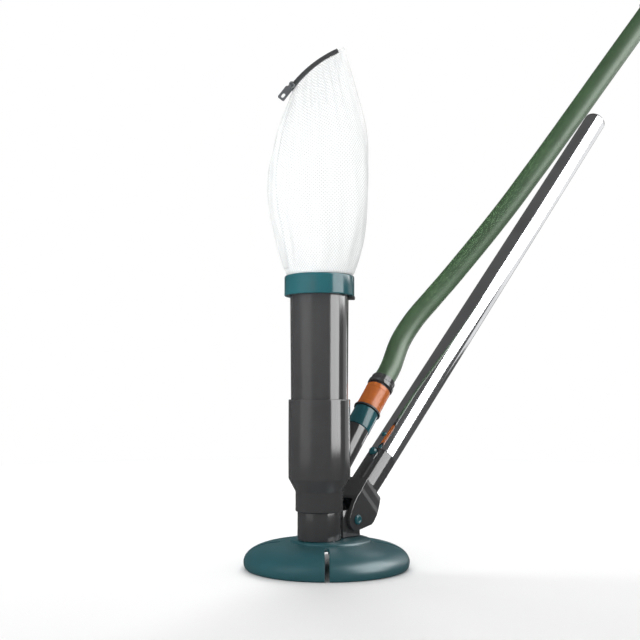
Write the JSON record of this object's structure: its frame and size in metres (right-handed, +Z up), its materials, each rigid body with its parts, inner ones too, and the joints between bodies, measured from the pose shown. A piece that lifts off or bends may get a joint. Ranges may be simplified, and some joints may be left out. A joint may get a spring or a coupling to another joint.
{
  "type": "pool cleaner",
  "caption": "Hand-held pool floor vacuum: hose-fed suction dome with a mesh debris bag on its riser and a hinged aluminium pole.",
  "frame": {"origin": "centre of the flat face of the plug in the pole's upper end", "axes": "+Z up, +X to the right of the bag's broad front face, +Y away from it; the pole rises in the plane turned 46 degrees from +X towards +Y"},
  "size_m": [0.5167, 0.5313, 0.6819],
  "materials": {
    "teal_plastic": "moulded, satin gloss",
    "dark_plastic": "moulded, satin gloss",
    "orange_plastic": "moulded, fine grain",
    "black_rubber": "moulded, matt",
    "pole_aluminium": "drawn and polished",
    "bag_mesh": "fine knitted nylon mesh",
    "zip_fabric": "woven tape with a coil zip",
    "stainless_steel": "satin",
    "hose_green": "extruded vinyl, soft gloss"
  },
  "bodies": {
    "pole": {"pole_bracket": "dark_plastic", "clip_spring": "stainless_steel", "clip_screw": "stainless_steel", "pole_tube": "pole_aluminium", "pole_end_plug": "dark_plastic"},
    "head": {"suction_head": "teal_plastic", "base_screw_1": "stainless_steel", "base_screw_2": "stainless_steel", "base_screw_3": "stainless_steel", "neck_block": "dark_plastic", "venturi_body": "dark_plastic", "jet_ring": "dark_plastic", "riser_tube": "dark_plastic", "flap_seat": "dark_plastic", "flap_pin": "stainless_steel", "inlet_pipe": "dark_plastic", "hose_adaptor": "teal_plastic", "adaptor_washer": "black_rubber", "connector_body": "dark_plastic", "connector_o_ring": "black_rubber", "hose_nut": "dark_plastic", "pivot_pin": "stainless_steel", "pin_cap_near": "teal_plastic", "pin_cap_far": "teal_plastic", "hose": "hose_green", "hose_tap_connector": "dark_plastic"},
    "flap": {"non_return_flap": "black_rubber"},
    "lock": {"connector_sleeve": "orange_plastic"},
    "buttons": {"release_button": "teal_plastic", "snap_button": "teal_plastic", "clip_arm": "stainless_steel"},
    "bag": {"bag_collar": "teal_plastic", "bag_ring": "dark_plastic", "mesh_bag": "bag_mesh", "zip_tape": "zip_fabric"},
    "slider": {"zip_slider": "stainless_steel"},
    "pull": {"zip_pull": "dark_plastic"}
  },
  "joints": [
    {"name": "pole_fold", "type": "hinge", "parent": "pole", "child": "head", "pos_m": [-0.3991, -0.41328, -0.55095], "axis": [0.7193, -0.6947, 0], "range_deg": [-8, 30]},
    {"name": "flap_open", "type": "hinge", "parent": "head", "child": "flap", "pos_m": [-0.43952, -0.45514, -0.35885], "axis": [0.7193, -0.6947, 0], "range_deg": [0, 60]},
    {"name": "lock_slide", "type": "slide", "parent": "head", "child": "lock", "axis": [0.4465, 0.4624, 0.766], "range_m": [0, 0.002], "stiffness_N_per_m": 300, "springref_m": -0.003},
    {"name": "release_press", "type": "slide", "parent": "pole", "child": "buttons", "axis": [0.4808, 0.4979, -0.7218], "range_m": [0, 0.0028], "stiffness_N_per_m": 800, "springref_m": -0.001},
    {"name": "bag_twist", "type": "hinge", "parent": "head", "child": "bag", "pos_m": [-0.4248, -0.43989, -0.31655], "axis": [0, 0, 1], "range_deg": [0, 30]},
    {"name": "zip_slide", "type": "hinge", "parent": "bag", "child": "slider", "pos_m": [-0.35038, -0.43989, -0.16784], "axis": [0, 1, 0], "range_deg": [0, 25]},
    {"name": "pull_flip", "type": "hinge", "parent": "slider", "child": "pull", "pos_m": [-0.45405, -0.44539, -0.08911], "axis": [-0.7964, 0, 0.6048], "range_deg": [0, 120]}
  ]
}
